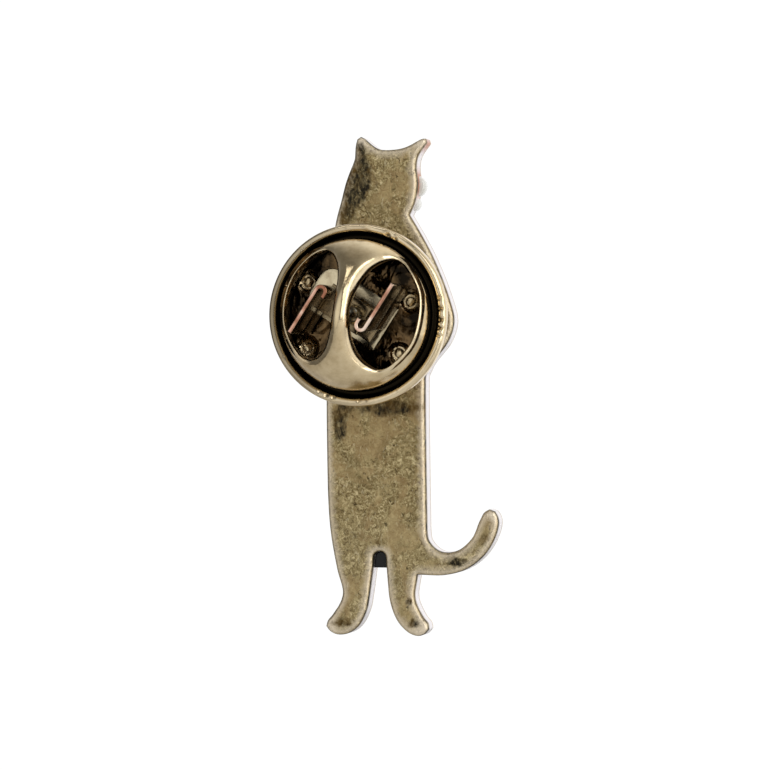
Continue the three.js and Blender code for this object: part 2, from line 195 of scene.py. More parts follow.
def inset(loop, distance):
    """The loop moved inwards, or outwards by a negative distance. Points that fold over are dropped."""
    before = loop - np.roll(loop, 1, 0)
    after = np.roll(loop, -1, 0) - loop
    before /= np.linalg.norm(before, axis=1)[:, None]
    after /= np.linalg.norm(after, axis=1)[:, None]
    along = before + after
    along /= np.linalg.norm(along, axis=1)[:, None]
    stretch = 1 / np.maximum((along * after).sum(1), 0.25)
    moved = loop + np.c_[-along[:, 1], along[:, 0]] * (distance * stretch)[:, None]
    return moved[nearest(moved, [loop]) > abs(distance) * 0.96]


def inside(points, loop):
    """Which points the loop encloses."""
    result = np.zeros(len(points), bool)
    x, z = points.T
    for (ax, az), (bx, bz) in zip(loop, np.roll(loop, -1, 0)):
        if az != bz:
            crosses = ((az > z) != (bz > z)) & (x < (bx - ax) * (z - az) / (bz - az) + ax)
            result ^= crosses
    return result


def circle(radius, count, centre=(0, 0)):
    turn = np.linspace(0, 2 * math.pi, count, endpoint=False)
    return np.c_[centre[0] + radius * np.cos(turn), centre[1] + radius * np.sin(turn)]


def plan_mesh(outer, holes=(), rings=(), spacing=0.3, extra=None):
    """Triangles that fill the outer loop around its holes, with every ring's points and edges kept."""
    loops = [outer, *holes, *(ring for ring in rings if len(ring) > 2)]
    low, high = outer.min(0), outer.max(0)
    xs, zs = (np.arange(low[k] + spacing / 2, high[k], spacing) for k in (0, 1))
    grid = np.stack(np.meshgrid(xs, zs), -1).reshape(-1, 2)
    grid[:, 0] += (np.round((grid[:, 1] - low[1]) / spacing) % 2) * spacing / 2
    grid = grid[inside(grid, outer)]
    grid = grid[nearest(grid, loops) > spacing * 0.55]
    if extra is not None:
        extra = extra[inside(extra, outer)]
        for hole in holes:
            extra = extra[~inside(extra, hole)]
        grid = np.concatenate([grid, extra[nearest(extra, loops) > 0.02]])
    points, edges = [], []
    for loop in loops:
        start = len(points)
        points += [Vector(p) for p in loop]
        edges += [(start + i, start + (i + 1) % len(loop)) for i in range(len(loop))]
    points += [Vector(p) for p in grid]
    verts, _, faces, *_ = geometry.delaunay_2d_cdt(points, edges, [], 0, 1e-5)
    verts, faces = np.array([tuple(v) for v in verts]), np.array([tuple(f) for f in faces])
    middles = verts[faces].mean(1)
    keep = inside(middles, outer)
    for hole in holes:
        keep &= ~inside(middles, hole)
    return verts, faces[keep]


# ---- solids from plans and profiles ----
def rounded(distance, radius):
    """How far a surface has fallen at a distance from an edge that is rounded to a radius."""
    left = np.clip(radius - distance, 0, radius)
    return radius - np.sqrt(radius**2 - left**2)


class Solid:
    """Points in mm and faces, collected from several patches and welded into one piece."""

    def __init__(self):
        self.points, self.faces, self.count = [], [], 0

    def add(self, points, faces):
        self.points.append(np.asarray(points, float))
        self.faces += [tuple(int(i) + self.count for i in face) for face in faces]
        self.count += len(points)

    def plan(self, verts, faces, height):
        self.add(np.c_[verts[:, 0], height, verts[:, 1]], faces)

    def wall(self, rings):
        """Quads between successive rings that all have the same number of points."""
        count = len(rings[0])
        faces = []
        for low in range(0, (len(rings) - 1) * count, count):
            high = low + count
            for i in range(count):
                j = (i + 1) % count
                faces.append((low + i, low + j, high + j, high + i))
        self.add(np.concatenate(rings), faces)

    def piece(self, name, body, slot, *replaced, attributes=None, thickness=0.0):
        """The piece, or with a thickness the sheet whose upper side the faces are."""
        mesh = bpy.data.meshes.new(name)
        mesh.from_pydata((np.concatenate(self.points) * MM).tolist(), [], self.faces)
        bm = bmesh.new()
        bm.from_mesh(mesh)
        bmesh.ops.remove_doubles(bm, verts=bm.verts, dist=WELD)
        bmesh.ops.dissolve_degenerate(bm, edges=bm.edges, dist=1e-7)
        bmesh.ops.recalc_face_normals(bm, faces=bm.faces)
        if thickness:
            if sum(face.normal.y * face.calc_area() for face in bm.faces) < 0:
                bmesh.ops.reverse_faces(bm, faces=bm.faces)
            outside = {v.co.copy().freeze() for v in bm.verts}
            bmesh.ops.solidify(bm, geom=bm.faces[:], thickness=thickness * MM)
            attributes = dict(attributes or {})
            bm.verts.index_update()
            # The sheet's underside is marked as inner, which gets painted shade in the clutch material.
            under = np.array([v.co.copy().freeze() not in outside for v in bm.verts], float)
            attributes["inner"] = lambda co: under
        bm.to_mesh(mesh)
        bm.free()
        return finish_piece(mesh, name, body, slot, replaced, attributes)


def finish_piece(mesh, name, body, slot, replaced, attributes):
    for polygon in mesh.polygons:
        polygon.use_smooth = True
    co = np.empty(len(mesh.vertices) * 3)
    mesh.vertices.foreach_get("co", co)
    for key, rule in (attributes or {}).items():
        layer = mesh.attributes.new(key, "FLOAT", "POINT")
        layer.data.foreach_set("value", np.clip(rule(co.reshape(-1, 3) / MM), 0, 1).astype(np.float32))
    piece = bpy.data.objects.new(name, mesh)
    bpy.context.scene.collection.objects.link(piece)
    mesh.materials.append(MATERIALS[slot])
    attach(piece, body)
    if replaced:
        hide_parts(*replaced)
    return piece


def at_height(loop, y):
    return np.c_[loop[:, 0], np.full(len(loop), float(y)), loop[:, 1]]


def rings_in(loop, radius, steps):
    """Loops inside an edge, spaced so that its rounding is turned in equal steps."""
    return [inset(loop, radius * (1 - math.cos(math.pi / 2 * k / steps))) for k in range(1, steps + 1)]


def slab(loop, low, high, edge, holes=(), rise=None, steps=4):
    """A plate between two heights with its edges rounded. rise adds a height to its -Y face."""
    solid = Solid()
    loops = [loop, *holes]
    rings = [r for one in loops for r in rings_in(one, edge if one is loop else -edge, steps)]
    verts, faces = plan_mesh(loop, holes, rings, 0.25)
    gap = nearest(verts, loops)
    fall = rounded(gap, edge)
    front = low + fall - (rise(gap, verts) if rise else 0)
    solid.plan(verts, faces, high - fall)
    solid.plan(verts, faces, front)
    edge_rise = rise(np.zeros(1), loop[:1])[0] if rise else 0
    for one in loops:
        solid.wall([at_height(one, y) for y in (high - edge, (high + low) / 2, low + edge - edge_rise)])
    return solid


def lathe(profile, segments, dent=None):
    """A closed profile of (radius, y) turned about the post's axis."""
    profile = np.asarray(profile, float)
    turn = np.linspace(0, 2 * math.pi, segments, endpoint=False)
    rings = []
    for radius, y in profile:
        ring = np.c_[radius * np.cos(turn), np.full(segments, y), radius * np.sin(turn)]
        if dent is not None:
            ring[:, 1] -= dent(turn, radius, y)
        rings.append(ring)
    solid = Solid()
    solid.wall(rings)
    return solid


def arc_points(centre, radius, start, stop, steps):
    turn = np.radians(np.linspace(start, stop, steps + 1))
    return [(centre[0] + radius * math.cos(a), centre[1] + radius * math.sin(a)) for a in turn]


# ---- materials ----
def set_stops(ramp, stops):
    """Give a colour ramp its stops: (place, colour), or (place, grey)."""
    while len(ramp.elements) < len(stops):
        ramp.elements.new(0.5)
    for element, (place, colour) in zip(ramp.elements, stops):
        element.position = place
        element.color = (*colour, 1) if isinstance(colour, tuple) else (colour, colour, colour, 1)


class Shader:
    """Short names for the nodes that the materials share. Places are in mm."""

    def __init__(self, name):
        self.material = bpy.data.materials.new(name)
        self.material.use_nodes = True
        self.tree = self.material.node_tree
        self.surface = self.tree.nodes["Principled BSDF"]
        place = self.tree.nodes.new("ShaderNodeTexCoord").outputs["Object"]
        self.mm = self.vector("SCALE", place, Scale=1 / MM)

    def new(self, kind, **values):
        node = self.tree.nodes.new(kind)
        for key, value in values.items():
            if hasattr(node, key):
                setattr(node, key, value)
            else:
                self.put(node.inputs[key.replace("_", " ")], value)
        return node

    def put(self, socket, value):
        if isinstance(value, bpy.types.NodeSocket):
            self.tree.links.new(value, socket)
        else:
            socket.default_value = value

    def vector(self, operation, a, b=None, **values):
        node = self.new("ShaderNodeVectorMath", operation=operation, **values)
        self.put(node.inputs[0], a)
        if b is not None:
            self.put(node.inputs[1], b)
        return node.outputs[0]

    def math(self, operation, a, b=0.0):
        node = self.new("ShaderNodeMath", operation=operation, use_clamp=True)
        self.put(node.inputs[0], a)
        self.put(node.inputs[1], b)
        return node.outputs[0]

    def along(self, axis):
        """The place along "X", "Y" or "Z"."""
        return self.new("ShaderNodeSeparateXYZ", Vector=self.mm).outputs[axis]

    def noise(self, scale, detail=4.0, roughness=0.55, stretch=(1, 1, 1), distortion=0.0):
        place = self.vector("MULTIPLY", self.mm, stretch)
        looks = {"Scale": scale, "Detail": detail, "Roughness": roughness, "Distortion": distortion}
        return self.new("ShaderNodeTexNoise", Vector=place, **looks).outputs["Fac"]

    def ramp(self, value, *stops):
        node = self.new("ShaderNodeValToRGB")
        self.put(node.inputs["Fac"], value)
        set_stops(node.color_ramp, stops)
        return node.outputs["Color"]

    def mask(self, value, low, high):
        """0 up to one value and 1 from another."""
        return self.ramp(value, (low, 0.0), (high, 1.0))

    def mix(self, share, a, b):
        node = self.new("ShaderNodeMix", data_type="RGBA")
        self.put(node.inputs["Factor"], share)
        for key, value in (("A", a), ("B", b)):
            socket = next(s for s in node.inputs if s.name == key and s.type == "RGBA")
            self.put(socket, (*value, 1) if isinstance(value, tuple) else value)
        return next(s for s in node.outputs if s.type == "RGBA")

    def tint(self, base, share, strength, colour):
        """The base with a colour laid over it, as strongly as the share says."""
        return self.mix(self.math("MULTIPLY", share, strength), base, colour)

    def value_of(self, name):
        return self.new("ShaderNodeAttribute", attribute_name=name).outputs["Fac"]

    def bump(self, height, depth_mm, under=None):
        node = self.new("ShaderNodeBump", Strength=1.0, Distance=depth_mm * MM, Height=height)
        if under is not None:
            self.put(node.inputs["Normal"], under)
        return node.outputs["Normal"]

    def surfaced(self, **values):
        """The material, with its surface's inputs filled in."""
        for key, value in values.items():
            self.put(self.surface.inputs[key.replace("_", " ")], value)
        return self.material


def scratches(shader, scale, stretch, low=0.62):
    """Fine lines, 0 or near it away from them."""
    lines = shader.noise(scale, 2.0, 0.4, stretch)
    return shader.mask(lines, low, low + 0.06)


def blotches(shader, share, scale):
    """A soft attribute broken up by noise into patches with ragged edges."""
    cloud = shader.noise(scale, 9.0, 0.7)
    both = shader.math("ADD", share, shader.math("MULTIPLY", cloud, 0.9))
    return shader.mask(both, 0.66, 0.88)


# Tones are (noise value, linear colour), from the darkest to the lightest.
TAN_TONES = ((0.36, (0.3, 0.2, 0.09)), (0.5, (0.42, 0.3, 0.14)), (0.64, (0.54, 0.42, 0.21)))
OLIVE_TONES = (
    (0.39, (0.08, 0.058, 0.025)),
    (0.465, (0.23, 0.172, 0.075)),
    (0.53, (0.4, 0.318, 0.15)),
    (0.61, (0.82, 0.69, 0.4)),
)
# rust browns, also used for painted shade along the edge and the clutch's painted shadow
RUST_AND_SHADE_TONES = ((0.45, (0.022, 0.019, 0.013)), (0.58, (0.13, 0.08, 0.025)))
DULL_OLIVE = (0.17, 0.13, 0.055)
PALE_FLECK = (0.68, 0.58, 0.36)
PIT_BROWN = (0.04, 0.028, 0.012)
# painted light on the lower legs
LIT_LEG_TONE = (0.66, 0.56, 0.32)
RUBBED_BRASS = (0.86, 0.74, 0.56)
# painted reflection of the white room on the plate's side walls
WHITE_WALL_REFLECTION = (0.9, 0.86, 0.87)
COPPER_WALL = (0.62, 0.3, 0.2)

BRASS_TONES = ((0.34, (0.52, 0.39, 0.215)), (0.5, (0.72, 0.57, 0.34)), (0.66, (0.84, 0.69, 0.44)))
# painted shade for the clutch's inside
INNER_SHADE_TONES = ((0.42, (0.012, 0.009, 0.006)), (0.62, (0.19, 0.12, 0.055)))
BRASS_SPOT = (0.16, 0.11, 0.05)
BRIGHT_BRASS = (0.9, 0.78, 0.58)
# patina in hollows, and painted shade in the groove and on the rim's +X side
PATINA_AND_SHADE_BLACK = (0.012, 0.009, 0.005)

# painted shade on the spring's strip, and painted light on its seat
SHADED_STRIP_TONES = ((0.3, (0.1, 0.075, 0.045)), (0.62, (0.36, 0.27, 0.15)))
LIT_SEAT_TONES = ((0.35, (0.5, 0.4, 0.25)), (0.6, (0.85, 0.74, 0.5)))
COPPER_TONES = ((0.42, (0.4, 0.17, 0.1)), (0.52, (0.8, 0.45, 0.32)), (0.6, (1, 0.78, 0.62)))
COPPER_DEPTH = 0.07  # of the sheared edge, in mm
SEAT_MARGIN = 0.06  # above the seat's top, in mm, where its painted light ends
SHARP = 14.0  # how fast a look gives way to the next, per mm


def antique_plate(name):
    """Cast and tumbled brass plating.

    It has smooth tan patches, grainy olive ones, brown stains, a painted dark line along the edge, a painted
    shadow below the clutch, legs painted a little lighter and side walls painted with a white reflection.
    """
    shader = Shader(name)
    clouds = shader.noise(0.75, 10.0, 0.72)
    speckle = shader.noise(3.9, 7.0, 0.78, distortion=1.0)
    grainy = shader.mask(shader.noise(0.34, 6.0, 0.7, distortion=0.6), 0.44, 0.52)
    smooth = shader.ramp(clouds, *TAN_TONES)
    rubbed = shader.ramp(speckle, *OLIVE_TONES)
    base = shader.mix(shader.math("MULTIPLY", shader.math("ADD", grainy, 0.25), 0.8), smooth, rubbed)
    patches = shader.mask(shader.noise(0.5, 8.0, 0.75, distortion=0.5), 0.5, 0.62)
    base = shader.tint(base, patches, 0.38, DULL_OLIVE)
    flecks = shader.mask(shader.noise(1.9, 4.0, 0.6, (1.7, 1, 0.8), 1.6), 0.6, 0.66)
    base = shader.tint(base, flecks, 0.5, PALE_FLECK)
    pits = shader.mask(shader.noise(2.4, 4.0, 0.6, (1.3, 1, 0.8), 0.8), 0.635, 0.69)
    base = shader.tint(base, pits, 0.8, PIT_BROWN)
    # painted light: the legs below LEGS_TOP_Z are made a little lighter
    legs = shader.math("SUBTRACT", LEGS_TOP_Z, shader.along("Z"))
    base = shader.tint(base, legs, 0.07, LIT_LEG_TONE)
    wear = shader.math("MULTIPLY", shader.value_of("wear"), shader.ramp(speckle, (0.3, 0.55), (0.5, 1.0)))
    base = shader.mix(wear, base, RUBBED_BRASS)
    # Stains, the clutch's painted shadow and the painted shade along the edge all turn rust brown here.
    stain_and_shade = blotches(shader, shader.value_of("grime"), 1.3)
    streaks = shader.ramp(shader.noise(2.2, 6.0, 0.75, (1.6, 1, 0.7), 0.6), (0.38, 0.4), (0.56, 1.0))
    rust = shader.ramp(shader.noise(0.6, 3.0), *RUST_AND_SHADE_TONES)
    base = shader.mix(shader.math("MULTIPLY", stain_and_shade, streaks), base, rust)
    # painted reflection: the side walls get a white reflection, turning to a copper tone at the cheek and ear
    wall = shader.mix(shader.value_of("rosy"), WHITE_WALL_REFLECTION, COPPER_WALL)
    base = shader.mix(shader.value_of("wall"), base, wall)
    rough = shader.ramp(speckle, (0.38, 0.26), (0.62, 0.46))
    grained = shader.bump(speckle, 0.03)
    lined = shader.bump(scratches(shader, 1.3, (4, 1, 0.7)), 0.01, grained)
    pitted = shader.bump(shader.math("SUBTRACT", 1.0, pits), 0.02, lined)
    uneven = shader.bump(clouds, 0.05, pitted)
    return shader.surfaced(Base_Color=base, Metallic=1.0, Roughness=rough, Normal=uneven)


def polished_brass(name):
    """Drawn and barrel-polished sheet: warm, nearly mirror bright, blackened where polishing can't reach,
    with painted shade in the groove by the rim, on the rim's +X side and over the inside, and painted glints
    round the floor's dimples.
    """
    shader = Shader(name)
    clouds = shader.noise(0.5, 7.0, 0.65)
    speckle = shader.noise(5.0, 5.0, 0.7)
    base = shader.ramp(clouds, *BRASS_TONES)
    base = shader.tint(base, shader.mask(speckle, 0.64, 0.72), 0.5, BRASS_SPOT)
    base = shader.mix(shader.value_of("wear"), base, BRIGHT_BRASS)
    # painted shade: the clutch's inside and the cap's underside are made nearly black
    inner = shader.value_of("inner")
    base = shader.mix(inner, base, shader.ramp(clouds, *INNER_SHADE_TONES))
    # Patina, with painted shade in the groove and on the rim's +X side, turns nearly black here.
    grime = shader.value_of("grime")
    base = shader.mix(grime, base, PATINA_AND_SHADE_BLACK)
    rough = shader.ramp(shader.noise(1.4, 6.0, 0.65), (0.3, 0.1), (0.7, 0.24))
    rough = shader.math("SUBTRACT", rough, shader.math("MULTIPLY", inner, 0.06))
    rough = shader.math("ADD", rough, shader.math("MULTIPLY", grime, 0.12))
    lined = shader.bump(scratches(shader, 0.9, (6, 1, 0.5), 0.6), 0.002)
    hollows = shader.math("MULTIPLY", inner, shader.noise(0.55, 2.0, 0.4, distortion=1.5))
    pressed = shader.bump(hollows, 0.25, lined)
    grained = shader.bump(speckle, 0.002, pressed)
    uneven = shader.bump(clouds, 0.012, grained)
    return shader.surfaced(Base_Color=base, Metallic=1.0, Roughness=rough, Normal=uneven)


def spring_metal(name, seat_y, edge_y):
    """Strip darkened with painted shade above the seat's top, with the seat and what lies below it pale as
    painted light; its sheared upper edge shows copper.
    """
    shader = Shader(name)
    streaks = shader.noise(1.2, 6.0, 0.6, (1, 3, 1))
    base = shader.ramp(streaks, *SHADED_STRIP_TONES)
    height = shader.along("Y")
    # painted light below just above the seat's top; above it the strip keeps its painted shade
    low = shader.math("MULTIPLY", shader.math("SUBTRACT", seat_y + SEAT_MARGIN, height), SHARP)
    base = shader.mix(low, base, shader.ramp(streaks, *LIT_SEAT_TONES))
    sheared = shader.math("MULTIPLY", shader.math("SUBTRACT", height, edge_y - COPPER_DEPTH), SHARP)
    base = shader.mix(sheared, base, shader.ramp(shader.noise(0.45, 3.0), *COPPER_TONES))
    rough = shader.ramp(streaks, (0.3, 0.14), (0.7, 0.3))
    return shader.surfaced(Base_Color=base, Metallic=1.0, Roughness=rough, Normal=shader.bump(streaks, 0.006))


def bare_metal(name, dark, light, rough, bumpiness):
    """Post and solder: little colour, with fine drawing lines or dull grain."""
    shader = Shader(name)
    grain = shader.noise(3.0, 6.0, 0.6, (1, 0.3, 1))
    return shader.surfaced(
        Base_Color=shader.ramp(grain, (0.3, dark), (0.65, light)),
        Metallic=1.0,
        Roughness=shader.ramp(grain, (0.3, rough), (0.7, rough + 0.15)),
        Normal=shader.bump(grain, bumpiness),
    )


def enamel(name, deep, pale, shine=0.5):
    """Glossy fired colour: a faint cloud in the pigment, small pits and a clear skin."""
    shader = Shader(name)
    cloud = shader.noise(0.9, 5.0, 0.6)
    pits = shader.mask(shader.noise(7.0, 2.0, 0.5), 0.24, 0.32)
    ripple = shader.bump(shader.noise(0.8, 3.0), 0.03)
    return shader.surfaced(
        Base_Color=shader.mix(pits, deep, shader.ramp(cloud, (0.3, deep), (0.7, pale))),
        Roughness=shader.ramp(cloud, (0.3, 0.12), (0.7, 0.24)),
        Specular_IOR_Level=shine,
        Coat_Weight=shine,
        Coat_Roughness=0.04,
        Normal=shader.bump(pits, 0.01, ripple),
    )


def make_materials():
    seat_top, wing_top = (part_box(node)[1].y / MM for node in ("spring_seat", "spring_wing_a"))
    return {
        "plate_brass": antique_plate("plate_brass"),
        "clutch_brass": polished_brass("clutch_brass"),
        "spring_brass": spring_metal("spring_brass", seat_top, wing_top),
        "post_steel": bare_metal("post_steel", (0.42, 0.38, 0.28), (0.72, 0.68, 0.56), 0.2, 0.004),
        "solder": bare_metal("solder", (0.22, 0.2, 0.15), (0.45, 0.42, 0.34), 0.4, 0.03),
        "enamel_black": enamel("enamel_black", (0.004, 0.0038, 0.004), (0.009, 0.0085, 0.009), 0.17),
        "enamel_white": enamel("enamel_white", (0.66, 0.64, 0.58), (0.82, 0.8, 0.76)),
        "enamel_pink": enamel("enamel_pink", (0.6, 0.2, 0.2), (0.78, 0.36, 0.35)),
        "enamel_gold": enamel("enamel_gold", (0.45, 0.28, 0.012), (0.72, 0.52, 0.04)),
    }


# ---- plate ----
STAIN_AND_SHADOW_PATCHES = [  # x, z, half width, half height, strength: brown patches left by the antiquing, and the clutch's painted shadow
    (0.98, 10.5, 0.3, 0.8, 0.9),
    (0.85, 9.5, 0.5, 0.7, 0.85),
    (1.1, 8.5, 0.75, 0.9, 0.85),
    (1.5, 7.6, 0.7, 1.0, 0.75),
    (1.55, 8.6, 0.6, 1.0, 0.4),
    (2.05, 6.3, 0.45, 0.8, 0.85),
    (2.35, -6.9, 0.42, 1.1, 1.15),
    # painted shadow of the clutch on the plate, just below it
    (-1.4, -5.8, 1.8, 0.4, 0.9),
    # a wide soft darker band just below the clutch
    (0.4, -6.0, 2.8, 0.6, 0.36),
    (0.1, -9.1, 0.5, 0.12, 0.6),
    (-0.2, -14.3, 0.5, 0.7, 0.5),
    (-5.3, -15.65, 1.1, 0.4, 0.62),
    (-7.1, -14.1, 0.4, 0.8, 0.5),
    (2.2, -19.6, 0.75, 0.32, 0.8),
    (-2.45, -19.6, 0.5, 0.35, 0.75),
    (-2.2, -18.2, 0.32, 0.3, 0.8),
    (-2.9, -16.0, 0.5, 0.3, 0.3),
]

WORN_TIPS = [  # x, z, half size: ears, feet and the end of the tail
    (1.05, 11.35, 0.35),
    (-3.0, 11.1, 0.35),
    (3.0, -19.85, 0.4),
    (-2.9, -19.95, 0.45),
    (-7.6, -12.7, 0.3),
]


def stain_and_shadow_share(co):
    total = np.zeros(len(co))
    for x, z, half_x, half_z, strength in STAIN_AND_SHADOW_PATCHES:
        total += strength * bell(co[:, 0], x, half_x) * bell(co[:, 2], z, half_z)
    return total


def bumps(points, size, seed):
    return np.array([noise.noise(Vector((x / size, z / size, seed))) for x, z in points])


def make_plate():
    outline = fine_loop(flat_loops("plate", BACK_Y)[0])
    pockets, islands = [], []
    for node in FILLED:
        pocket, *holes = map(fine_loop, flat_loops(node, POCKET_FLOOR_Y - POCKET_GAP))
        pockets.append(inset(pocket, -POCKET_GAP))
        islands += [inset(hole, POCKET_GAP) for hole in holes]
    solid = Solid()

    rings = rings_in(outline, BACK_ROUND, 5)
    verts, faces = plan_mesh(outline, (), rings, 0.3)
    gap = nearest(verts, [outline])
    waves = UNEVEN * (bumps(verts, 2.6, 0.0) - 1) + UNEVEN * 0.3 * bumps(verts, 0.7, 9.0)
    calm = np.clip(gap / BACK_ROUND, 0, 1)
    solid.plan(verts, faces, BACK_Y - rounded(gap, BACK_ROUND) + waves * calm)

    walls = [(pocket, POCKET_WALL) for pocket in pockets] + [(island, -POCKET_WALL) for island in islands]
    lines = [ring for loop, way in walls for ring in rings_in(loop, math.copysign(FRONT_ROUND, -way), 2)]
    feet = [inset(loop, way) for loop, way in walls]
    edges = [loop for loop, _ in walls]
    verts, faces = plan_mesh(outline, (), [*rings_in(outline, FRONT_ROUND, 2), *edges, *lines, *feet], 0.5)
    sunk = np.zeros(len(verts), bool)
    for foot, (_, way) in zip(feet, walls):
        sunk ^= inside(verts, inset(foot, -way / 2))
    gap = nearest(verts, [outline, *edges])
    height = FRONT_Y + rounded(gap, FRONT_ROUND)
    solid.plan(verts, faces, np.where(sunk, POCKET_FLOOR_Y, height))

    levels = np.linspace(BACK_Y - BACK_ROUND, FRONT_Y + FRONT_ROUND, 5)
    solid.wall([at_height(outline, y) for y in levels])

    def wear(co):
        edge = nearest(co[:, ::2], [outline])
        border = bell(edge, 0.2, 0.14) * (co[:, 1] > -0.6) * 0.75
        tips = sum(bell(co[:, 0], x, size) * bell(co[:, 2], z, size) * 0.8 for x, z, size in WORN_TIPS)
        ridges = (co[:, 1] < FRONT_BAND_Y) * 0.7
        return border + tips + ridges

    # Real antiquing stains with the clutch's painted shadow among them, and painted shade along the back's
    # edge.
    def grime(co):
        edge = nearest(co[:, ::2], [outline])
        # painted shade: a dark line along the rounding of the back's edge
        lip = bell(co[:, 1], -BACK_ROUND * 0.8, 0.09) * (edge < 0.05)
        return (stain_and_shadow_share(co) * 0.75 + lip) * (co[:, 1] > -0.9)

    # painted reflection: marks the side walls between the back's rounding and the front band for the white
    # reflection
    def wall(co):
        return np.clip((-BACK_ROUND - 0.1 - co[:, 1]) / 0.12, 0, 1) * (co[:, 1] > FRONT_BAND_Y)

    def rosy(co):
        cheek = bell(co[:, 2], 8.5, 0.75) * 1.69
        ear = bell(co[:, 2], 11.0, 0.4)
        return (cheek + ear) * (co[:, 0] < -2)

    shares = {"wear": wear, "grime": grime, "wall": wall, "rosy": rosy}
    return solid.piece("plate_cast", "pin", "plate_brass", "plate", attributes=shares)


# ---- enamels ----
BEADS = {"enamel_muzzle": 0.22, "enamel_nose": 0.12, "enamel_crotch": 0.06}  # how far their edges are rounded
FILLED = [
    node
    for node in sorted(node for nodes in frame["record"]["behaviour"]["bodies"].values() for node in nodes)
    if node.startswith("enamel_") and node not in BEADS
]


def slot_of(node):
    return next(part["material_slot"] for part in frame["record"]["subparts"] if part["node"] == node)


def make_enamel(node):
    """A fill that has crept up the walls of its pocket, with a slightly uneven face."""
    low, high = (corner.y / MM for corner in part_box(node))
    outline, *islands = map(fine_loop, flat_loops(node, high))
    outline = inset(outline, -POCKET_GAP * 0.8)
    islands = [inset(island, POCKET_GAP * 0.8) for island in islands]

    def creep(gap, verts):
        waves = 0.012 * bumps(verts, 1.1, 4.0) if len(verts) > 1 else 0
        return 0.045 * np.exp(-gap / 0.14) + waves * np.clip(gap / 0.3, 0, 1)

    solid = slab(outline, low + 0.01, high, 0.02, islands, rise=creep, steps=2)
    return solid.piece(node + "_fill", "pin", slot_of(node), node)


def make_beads():
    """The muzzle, nose and the web between the legs: solid drops of enamel with soft edges."""
    for node, edge in BEADS.items():
        low, high = (corner.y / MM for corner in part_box(node))
        outline = fine_loop(flat_loops(node, high)[0], 0.06)
        slab(outline, low, high, edge).piece(node + "_bead", "pin", slot_of(node), node)


# ---- post ----
def make_post():
    low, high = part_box("post")
    radius, tip_y = high.x / MM, high.y / MM
    groove_y, groove_half, groove_r = 6.7, 0.15, 0.4
    taper = 1.1
    thin = 0.001  # radius that stands for a closed end
    profile = [(thin, low.y / MM), (radius, low.y / MM)]
    profile += [(radius, y) for y in np.linspace(0.5, groove_y - groove_half - 0.04, 8)]
    for share in np.linspace(-1, 1, 13):
        cut = (radius - groove_r) * (0.5 + 0.5 * math.cos(math.pi * share))
        profile.append((radius - cut, groove_y + groove_half * share))
    for share in np.linspace(0, 1, 14):
        profile.append((max(radius * (1 - share**1.9) ** 0.75, thin), tip_y - taper * (1 - share)))
    return lathe(profile, 64).piece("post_shaft", "pin", "post_steel", "post")


def make_solder():
    low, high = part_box("solder_ring")
    inner, outer = 0.5, high.x / MM
    top, foot = high.y / MM, 0.02
    profile = [(inner, low.y / MM), (outer, low.y / MM)]
    for share in np.linspace(0, 1, 16):
        profile.append((outer - (outer - inner) * share, foot + (top - foot) * share**2.6))
    profile.append((inner, low.y / MM))

    def lumps(turn, radius, y):
        return 0.05 * np.sin(3 * turn + 1) * np.sin(5 * turn) * max(radius - 0.7, 0) * (y > 0)

    return lathe(profile, 96, lumps).piece("solder_fillet", "pin", "solder", "solder_ring")


# ---- clutch base ----
CRIMPS = [  # angle round the rim in degrees from +X towards +Z, width in degrees, depth in mm
    (169, 1.6, 0.1), (176, 1.4, 0.16), (183.5, 1.6, 0.2), (189, 1.2, 0.2), (194, 1.0, 0.12),
    (112, 2.4, 0.16), (118, 1.4, 0.12), (97, 3.0, 0.1), (84, 1.6, 0.05), (286, 1.6, 0.12), (291, 1.5, 0.16),
    (296, 1.6, 0.1), (268, 1.4, 0.1), (262, 1.2, 0.06), (50, 1.5, 0.05), (330, 1.6, 0.06), (240, 1.2, 0.05),
]

# x, z of the round marks pressed into the floor
DIMPLES = [(-3.29, 0.81), (-2.56, -2.39), (3.31, 2.09), (3.38, -2.01)]


ROLL_INSET = 0.34  # from the rim's outside to the wall below its roll


def floor_dents(turn, radius):
    total = np.zeros(len(turn))
    for x, z in DIMPLES:
        apart = np.hypot(radius * np.cos(turn) - x, radius * np.sin(turn) - z)
        total += 0.19 * bell(apart, 0, 0.45) - 0.04 * bell(apart, 0.78, 0.14)
    return total


def rim_dents(turn, radius, y):
    """Marks of the crimping tool on the top of the rolled rim, and of the press on the floor inside."""
    if abs(y - FLOOR_TOP_Y) < 0.01:
        return floor_dents(turn, radius)
    degrees = np.degrees(turn)
    total = np.zeros(len(turn))
    for at, width, depth in CRIMPS:
        apart = (degrees - at + 180) % 360 - 180
        total += depth * bell(apart, 0, width)
    on_top = bell(radius, RIM_R - ROLL_INSET, 0.2) * (y > RIM_TOP_Y - 0.35)
    wander = 0.012 * np.sin(9 * turn + 2) * np.sin(4 * turn)
    return (total + wander) * on_top


